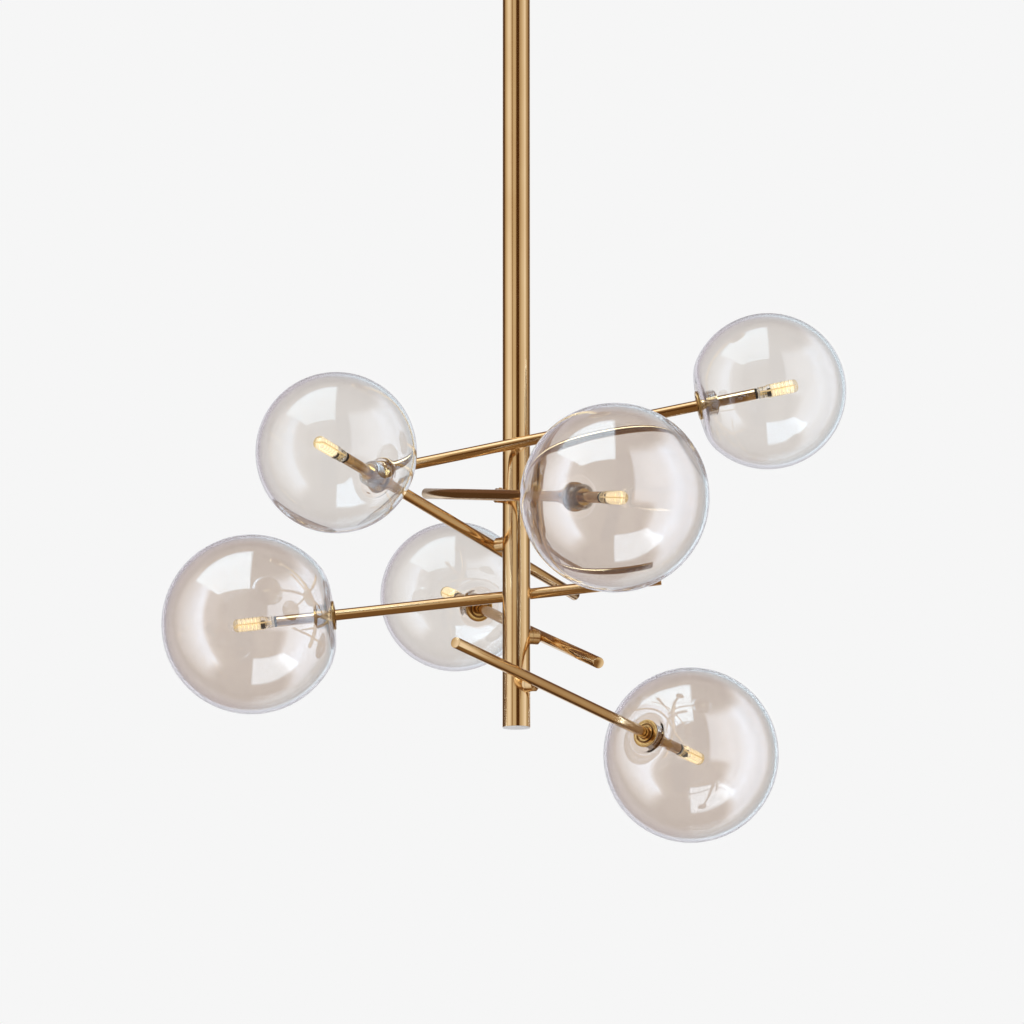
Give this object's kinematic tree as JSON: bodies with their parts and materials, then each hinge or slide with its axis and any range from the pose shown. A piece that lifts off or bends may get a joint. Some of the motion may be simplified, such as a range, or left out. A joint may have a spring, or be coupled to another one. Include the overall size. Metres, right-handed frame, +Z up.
{
  "type": "branch chandelier",
  "caption": "Ceiling light with brass rods that swivel on stubs winding down round a plain central stem, each rod ending in a hollow glass globe with a capsule lamp inside.",
  "frame": {"origin": "centre of the ceiling plane, midway between the two ceiling screws, on the stem's axis", "axes": "+Z up, along the stem towards the ceiling; +X along the line of the two ceiling screws; -Y faces the picture's camera"},
  "size_m": [0.6148, 0.5893, 0.8048],
  "materials": {
    "brass": "polished, lacquered",
    "zinc_steel": "zinc plated",
    "white_plastic": "moulded, matt",
    "pale_plastic": "matt, pale grey",
    "clear_glass": "blown, clear",
    "champagne_glass": "blown, light champagne tint",
    "clear_plastic": "clear, moulded rings",
    "ceramic": "unglazed ceramic",
    "lamp": "clear resin over light strips"
  },
  "bodies": {
    "frame": {"ceiling_bracket": "zinc_steel", "nipple": "zinc_steel", "nipple_nuts": "zinc_steel", "terminal_block": "white_plastic", "lamp_driver": "white_plastic", "canopy": "brass", "canopy_collar": "brass", "collar_screw": "brass", "stem": "brass", "stem_top_plug": "brass", "stem_end_cap": "pale_plastic", "stub_studs": "brass"},
    "arm_1": {"rod_1": "brass", "swivel_stub_1": "brass", "stub_screw_1": "brass", "globe_flange_1": "brass", "neck_bush_1": "clear_plastic", "globe_1": "clear_glass", "lamp_holder_1": "ceramic", "lamp_1": "lamp"},
    "arm_2": {"rod_2": "brass", "swivel_stub_2": "brass", "stub_screw_2": "brass", "globe_flange_2": "brass", "neck_bush_2": "clear_plastic", "globe_2": "champagne_glass", "lamp_holder_2": "ceramic", "lamp_2": "lamp"},
    "arm_3": {"rod_3": "brass", "swivel_stub_3": "brass", "stub_screw_3": "brass", "globe_flange_3": "brass", "neck_bush_3": "clear_plastic", "globe_3": "clear_glass", "lamp_holder_3": "ceramic", "lamp_3": "lamp"},
    "arm_4": {"rod_4": "brass", "swivel_stub_4": "brass", "stub_screw_4": "brass", "globe_flange_4": "brass", "neck_bush_4": "clear_plastic", "globe_4": "champagne_glass", "lamp_holder_4": "ceramic", "lamp_4": "lamp"},
    "arm_5": {"rod_5": "brass", "swivel_stub_5": "brass", "stub_screw_5": "brass", "globe_flange_5": "brass", "neck_bush_5": "clear_plastic", "globe_5": "clear_glass", "lamp_holder_5": "ceramic", "lamp_5": "lamp"},
    "arm_6": {"rod_6": "brass", "swivel_stub_6": "brass", "stub_screw_6": "brass", "globe_flange_6": "brass", "neck_bush_6": "clear_plastic", "globe_6": "champagne_glass", "lamp_holder_6": "ceramic", "lamp_6": "lamp"}
  },
  "joints": [
    {"name": "arm_1_swivel", "type": "hinge", "parent": "frame", "child": "arm_1", "pos_m": [0, 0, -0.467], "axis": [0.0175, -0.9998, 0], "range_deg": [-15, 15]},
    {"name": "arm_2_swivel", "type": "hinge", "parent": "frame", "child": "arm_2", "pos_m": [0, 0, -0.5115], "axis": [-0.891, -0.454, 0], "range_deg": [-15, 15]},
    {"name": "arm_3_swivel", "type": "hinge", "parent": "frame", "child": "arm_3", "pos_m": [0, 0, -0.553], "axis": [-0.7986, 0.6018, 0], "range_deg": [-15, 15]},
    {"name": "arm_4_swivel", "type": "hinge", "parent": "frame", "child": "arm_4", "pos_m": [0, 0, -0.5965], "axis": [0.0349, 0.9994, 0], "range_deg": [-15, 15]},
    {"name": "arm_5_swivel", "type": "hinge", "parent": "frame", "child": "arm_5", "pos_m": [0, 0, -0.6375], "axis": [0.9272, 0.3746, 0], "range_deg": [-15, 15]},
    {"name": "arm_6_swivel", "type": "hinge", "parent": "frame", "child": "arm_6", "pos_m": [0, 0, -0.682], "axis": [0.809, -0.5878, 0], "range_deg": [-15, 15]}
  ]
}
